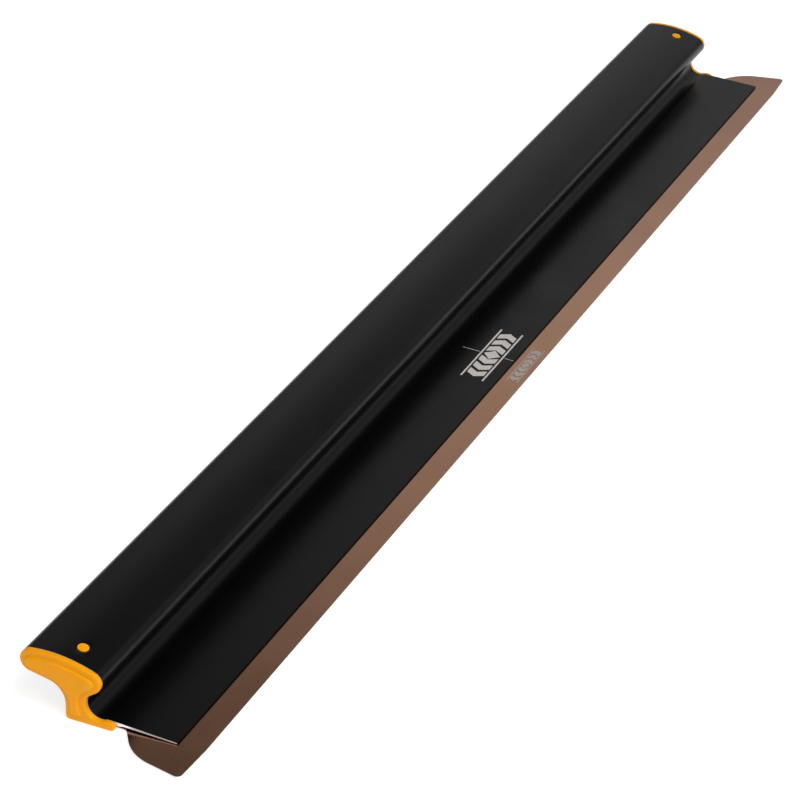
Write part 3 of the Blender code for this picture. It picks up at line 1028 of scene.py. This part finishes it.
class SKIMMER_OT_caps(bpy.types.Operator):
    """Build the two end caps, each with a flange, a raised face and a hollow plug"""

    bl_idname = "skimmer.caps"
    bl_label = "End caps"

    def execute(self, context):
        left = self.build_cap(context.scene.skimmer_sizes, -1)
        install(left, "left_cap", "yellow_plastic", "left_end_cap")
        right = mirrored(left, "right_cap")
        install(right, "right_cap", "yellow_plastic", "right_end_cap")
        return {"FINISHED"}

    def build_cap(self, sizes, side):
        inner = HANDLE_HALF + GAP
        rim_x = inner + FLANGE
        face_x = rim_x + FACE_RISE
        plug_x = HANDLE_HALF - PLUG_DEPTH
        plug_inset = WALL + GAP
        plug_floor = CHAMBER_FLOOR + GAP
        shape = bmesh.new()

        def chamber(x, inset):
            return (draw_chamber, side * x, inset, plug_floor + inset - plug_inset)

        hollow = plug_inset + PLUG_WALL
        inside = [
            chamber(inner, hollow),
            chamber(plug_x + PLUG_LEAD, hollow),
            chamber(plug_x, hollow - PLUG_LEAD / 2),
            chamber(plug_x, plug_inset + PLUG_LEAD),
            chamber(plug_x + PLUG_LEAD, plug_inset),
            chamber(inner, plug_inset),
        ]
        hollow_floor, plug_root = skin(shape, inside)
        shape.faces.new(hollow_floor)

        rim_start = rim_x - sizes.cap_rim
        flange = [
            (draw_flange, side * inner, FLANGE_LIP),
            (draw_flange, side * (inner + FLANGE_LIP), 0),
        ]
        flange += [
            (draw_flange, side * (rim_start + up), inward)
            for inward, up in round_over(sizes.cap_rim, 8, "convex")
        ]
        flange.append((draw_flange, side * rim_x, sizes.cap_rim + MARGIN / 2))
        flange_back, flange_front = skin(shape, flange)
        fill_ring(shape, flange_back, plug_root)

        base = FACE_INSET - sizes.face_fillet
        top_start = face_x - sizes.face_rim
        face = [(draw_face, side * rim_x, base - MARGIN / 2)]
        face += [
            (draw_face, side * (rim_x + up), base + inward)
            for inward, up in round_over(sizes.face_fillet, 5, "concave")
        ]
        face += [
            (draw_face, side * (top_start + up), FACE_INSET + inward)
            for inward, up in round_over(sizes.face_rim, 8, "convex")
        ]
        face.append((draw_face, side * face_x, FACE_INSET + sizes.face_rim + MARGIN / 2))
        face_foot, face_top = skin(shape, face)
        fill_ring(shape, flange_front, face_foot)
        shape.faces.new(face_top)

        cap = piece_from(shape, "left_cap", bpy.data.materials["moulded_yellow"])
        combine(cap, self.slot_cutter(side), "DIFFERENCE")
        return cap

    def slot_cutter(self, side):
        """The window in the plug's roof that leaves room for the latch tongue."""
        start = TONGUE_FREE_END - 2 * GAP
        end = PLUG_DEPTH - BRIDGE
        middle = side * (BUTTON_INSET - (start + end) / 2)
        shape = bmesh.new()
        bmesh.ops.create_cube(shape, size=1)
        bmesh.ops.scale(
            shape, vec=(end - start, TONGUE_WIDTH + 2 * GAP, WINDOW_HEIGHT), verts=shape.verts
        )
        bmesh.ops.transform(
            shape,
            matrix=button_frame(side) @ Matrix.Translation((middle, 0, 0)),
            verts=shape.verts,
        )
        return piece_from(shape, "slot_cutter")


class SKIMMER_OT_latches(bpy.types.Operator):
    """Build the two sprung tongues with their round buttons"""

    bl_idname = "skimmer.latches"
    bl_label = "Latch tongues"

    def execute(self, context):
        left = self.build_latch(context.scene.skimmer_sizes, -1)
        install(left, "left_latch", "yellow_plastic", "left_latch_tongue")
        right = mirrored(left, "right_latch")
        install(right, "right_latch", "yellow_plastic", "right_latch_tongue")
        return {"FINISHED"}

    def build_latch(self, sizes, side):
        root = PLUG_DEPTH - BRIDGE - GAP
        top = -(WALL + 2 * GAP)
        length = root - TONGUE_FREE_END
        frame_here = button_frame(side)

        strip = bmesh.new()
        bmesh.ops.create_cube(strip, size=1)
        bmesh.ops.scale(strip, vec=(length, TONGUE_WIDTH, TONGUE_THICKNESS), verts=strip.verts)
        soften(strip, strip.edges[:], TONGUE_EDGE, 3)
        middle = side * (BUTTON_INSET - (root + TONGUE_FREE_END) / 2)
        spot = frame_here @ Matrix.Translation((middle, 0, top - TONGUE_THICKNESS / 2))
        bmesh.ops.transform(strip, matrix=spot, verts=strip.verts)
        latch = piece_from(strip, "left_latch", bpy.data.materials["moulded_yellow"])

        button = bmesh.new()
        foot_z = top - TONGUE_THICKNESS / 2
        rim_z = BUTTON_PROUD - BUTTON_EDGE
        profile = [(0, foot_z), (BUTTON_RADIUS, foot_z)]
        profile += [
            (BUTTON_RADIUS - inward, rim_z + up)
            for inward, up in round_over(BUTTON_EDGE, 6, "convex")
        ]
        dome_steps = 6
        for step in range(1, dome_steps + 1):
            outward = 1 - step / dome_steps
            height = BUTTON_PROUD + sizes.button_dome * (1 - outward**2)
            profile.append(((BUTTON_RADIUS - BUTTON_EDGE) * outward, height))
        verts = [button.verts.new((radius, 0, height)) for radius, height in profile]
        edges = [button.edges.new(pair) for pair in zip(verts, verts[1:])]
        bmesh.ops.spin(
            button,
            geom=verts + edges,
            axis=(0, 0, 1),
            cent=(0, 0, 0),
            angle=tau,
            steps=64,
            use_merge=True,
        )
        bmesh.ops.remove_doubles(button, verts=button.verts, dist=0.002 * MM)
        bmesh.ops.transform(button, matrix=frame_here, verts=button.verts)
        combine(latch, piece_from(button, "button"), "UNION")
        return latch


class SKIMMER_OT_marks(bpy.types.Operator):
    """Print the plain marks and the centre line on the front panel and the blade"""

    bl_idname = "skimmer.marks"
    bl_label = "Printed marks"

    def execute(self, context):
        sizes = context.scene.skimmer_sizes
        panel_shape = bmesh.new()
        self.draw_mark(panel_shape, sizes.mark_length, PANEL_MARK, sizes.mark_place)
        for start, end in CENTRE_LINES:
            self.draw_bar(panel_shape, sizes.mark_place, 0.45 * MM, start, end)
        rise = (PANEL_BACK[1] - SLOT_TOP - PANEL_EDGE) / (PANEL_BACK[0] - PANEL_FRONT_Y)
        for vert in panel_shape.verts:
            behind = vert.co.y + DEPTH / 2 - PANEL_FRONT_Y
            vert.co.z = SLOT_TOP + PANEL_EDGE + behind * rise - sizes.ink_depth
        self.print_mark(panel_shape, "panel_mark", "panel_ink", sizes.ink_depth)

        blade_shape = bmesh.new()
        self.draw_mark(blade_shape, sizes.blade_mark_length, BLADE_MARK, sizes.mark_place)
        bmesh.ops.translate(
            blade_shape, vec=(0, 0, BLADE_TOP - sizes.ink_depth), verts=blade_shape.verts
        )
        self.print_mark(blade_shape, "blade_mark", "blade_ink", sizes.ink_depth)
        return {"FINISHED"}

    def print_mark(self, shape, name, ink, depth):
        push(shape, shape.faces[:], (0, 0, 2 * depth), keep=True)
        mark = piece_from(shape, name, bpy.data.materials[ink])
        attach(mark, "handle")

    def draw_shape(self, shape, *points):
        pen = plan_pen(shape, 0)
        pen.to(*points)
        shape.faces.new(pen.close())

    def draw_bar(self, shape, middle, width, front, back):
        left, right = middle - width / 2, middle + width / 2
        self.draw_shape(shape, (left, front), (right, front), (right, back), (left, back))

    def draw_mark(self, shape, length, band, middle):
        """Two long bars with a diamond and three chevrons on each side of it between them."""
        front, back = band
        thin = 0.075 * (back - front)
        self.draw_bar(shape, middle, length, front, front + thin)
        self.draw_bar(shape, middle, length, back - thin, back)
        low, high = front + 1.9 * thin, back - 1.9 * thin
        centre = (low + high) / 2
        reach = 0.085 * length
        self.draw_shape(
            shape,
            (middle - reach, centre),
            (middle, low),
            (middle + reach, centre),
            (middle, high),
        )
        pitch = 0.135 * length
        width = 0.092 * length
        for side in (-1, 1):
            for number in range(3):
                start = middle + side * (0.045 * length + pitch * number)
                tip = start + side * reach * 0.62
                self.draw_shape(
                    shape,
                    (start, low),
                    (start + side * width, low),
                    (tip + side * width, centre),
                    (start + side * width, high),
                    (start, high),
                    (tip, centre),
                )


class SKIMMER_OT_stage(bpy.types.Operator):
    """Set up the pale floor, the soft light and the camera"""

    bl_idname = "skimmer.stage"
    bl_label = "Stage"

    def execute(self, context):
        scene = context.scene
        self.build_floor(scene)
        self.build_surroundings(scene)
        self.add_light("main_light", (-0.6, -1.7, 2.1), (0, 0, 0), (2.6, 2.2), 77)
        self.add_light("rim_light", (-1.45, 0.75, 1.5), (-0.48, 0, 0), (0.3, 0.25), 5)
        self.build_camera(scene)
        scene.view_settings.view_transform = "Standard"
        return {"FINISHED"}

    def build_floor(self, scene):
        shape = bmesh.new()
        bmesh.ops.create_grid(
            shape, x_segments=1, y_segments=1, size=12, matrix=Matrix.Translation((0, 0, -GAP))
        )
        mesh = bpy.data.meshes.new("floor")
        shape.to_mesh(mesh)
        shape.free()
        tree, shader, place = start_material("pale_floor")
        colour = scene.skimmer_colours.floor
        clouds = noise(tree, place, 1.5, 2.0, 0.5)
        toned = mix_colours(tree, clouds, shade(colour, 0.995), shade(colour, 1.005))
        feed_all(tree, shader, Base_Color=toned, Roughness=0.9, Specular_IOR_Level=0.0)
        feed_all(tree, shader, Emission_Color=toned, Emission_Strength=1.5)
        mesh.materials.append(bpy.data.materials["pale_floor"])
        floor = bpy.data.objects.new("floor", mesh)
        scene.collection.objects.link(floor)

    def build_surroundings(self, scene):
        """A soft band of light low down along the tool, darker above it, in an even room."""
        world = bpy.data.worlds.new("soft_room")
        world.use_nodes = True
        tree = world.node_tree
        direction = add_node(tree, "ShaderNodeTexCoord").outputs["Generated"]
        split = add_node(tree, "ShaderNodeSeparateXYZ")
        feed_all(tree, split, Vector=direction)
        ramp = add_node(tree, "ShaderNodeValToRGB")
        feed_all(tree, ramp, Fac=split.outputs["Z"])
        elements = ramp.color_ramp.elements
        levels = (
            (0, 0.32), (20, 0.4), (24.6, 0.54), (26.3, 0.72), (28, 0.88), (31, 0.78), (34, 0.5),
            (36, 0.27), (38, 0.1), (45, 0.08), (60, 0.1), (90, 0.12),
        )
        for elevation, level in levels:
            place = sin(radians(elevation))
            there = [element for element in elements if abs(element.position - place) < 1e-4]
            element = there[0] if there else elements.new(place)
            element.color = (level, level, level, 1)
        around = math_node(tree, "ARCTAN2", split.outputs["Y"], split.outputs["X"])
        dip = remap(tree, around, radians(29), radians(40), 1.0, 0.4)
        band = math_node(tree, "MULTIPLY", ramp.outputs["Color"], dip)
        turned_away = math_node(tree, "SUBTRACT", around, radians(25))
        aside = math_node(tree, "ABSOLUTE", turned_away)
        rest_of_room = remap(tree, aside, radians(40), radians(75))
        level = mix_colours(tree, rest_of_room, band, (0.32, 0.32, 0.32, 1))
        feed_all(tree, tree.nodes["Background"], Color=level)
        scene.world = world

    def add_light(self, name, place, aim, size, power):
        data = bpy.data.lights.new(name, "AREA")
        data.shape = "RECTANGLE"
        data.size, data.size_y = size
        data.energy = power
        light = bpy.data.objects.new(name, data)
        light.location = place
        direction = Vector(aim) - Vector(place)
        light.rotation_euler = direction.to_track_quat("-Z", "Y").to_euler()
        bpy.context.scene.collection.objects.link(light)

    def build_camera(self, scene):
        elevation, azimuth, roll = radians(30.53), radians(24.64), radians(0.72)
        distance, shift_right, shift_up = 2.0682, -0.0439, -0.0378
        forward = Vector(
            (cos(azimuth) * cos(elevation), sin(azimuth) * cos(elevation), -sin(elevation))
        )
        right = forward.cross(Vector((0, 0, 1))).normalized()
        up = right.cross(forward)
        place = right * shift_right + up * shift_up - forward * distance
        turned_right = right * cos(roll) + up * sin(roll)
        turned_up = up * cos(roll) - right * sin(roll)
        axes = Matrix((turned_right, turned_up, -forward)).transposed()
        data = bpy.data.cameras.new("camera")
        data.sensor_width = 36
        data.lens = 136.4
        data.clip_start = 0.05
        data.clip_end = 100
        camera = bpy.data.objects.new("camera", data)
        camera.matrix_world = Matrix.Translation(place) @ axes.to_4x4()
        scene.collection.objects.link(camera)
        scene.camera = camera


STEPS = (
    SKIMMER_OT_finishes,
    SKIMMER_OT_handle,
    SKIMMER_OT_blade,
    SKIMMER_OT_spine,
    SKIMMER_OT_caps,
    SKIMMER_OT_latches,
    SKIMMER_OT_marks,
    SKIMMER_OT_stage,
)


class SKIMMER_PT_panel(bpy.types.Panel):
    """Lists the build steps with their sizes and colours"""

    bl_idname = "SKIMMER_PT_panel"
    bl_label = "Skimming Blade"
    bl_space_type = "VIEW_3D"
    bl_region_type = "UI"
    bl_category = "Skimming Blade"

    def draw(self, context):
        layout = self.layout
        for step in STEPS:
            layout.operator(step.bl_idname)
        for group in (context.scene.skimmer_sizes, context.scene.skimmer_colours):
            column = layout.column()
            for name in group.__annotations__:
                column.prop(group, name)


CLASSES = (SkimmerSizes, SkimmerColours, *STEPS, SKIMMER_PT_panel)


def register():
    for entry in CLASSES:
        bpy.utils.register_class(entry)
    bpy.types.Scene.skimmer_sizes = PointerProperty(type=SkimmerSizes)
    bpy.types.Scene.skimmer_colours = PointerProperty(type=SkimmerColours)


def unregister():
    del bpy.types.Scene.skimmer_colours
    del bpy.types.Scene.skimmer_sizes
    for entry in reversed(CLASSES):
        bpy.utils.unregister_class(entry)


def main():
    register()
    bpy.ops.skimmer.finishes()
    bpy.ops.skimmer.handle()
    bpy.ops.skimmer.blade()
    bpy.ops.skimmer.spine()
    bpy.ops.skimmer.caps()
    bpy.ops.skimmer.latches()
    bpy.ops.skimmer.marks()
    bpy.ops.skimmer.stage()


if __name__ == "__main__":
    main()
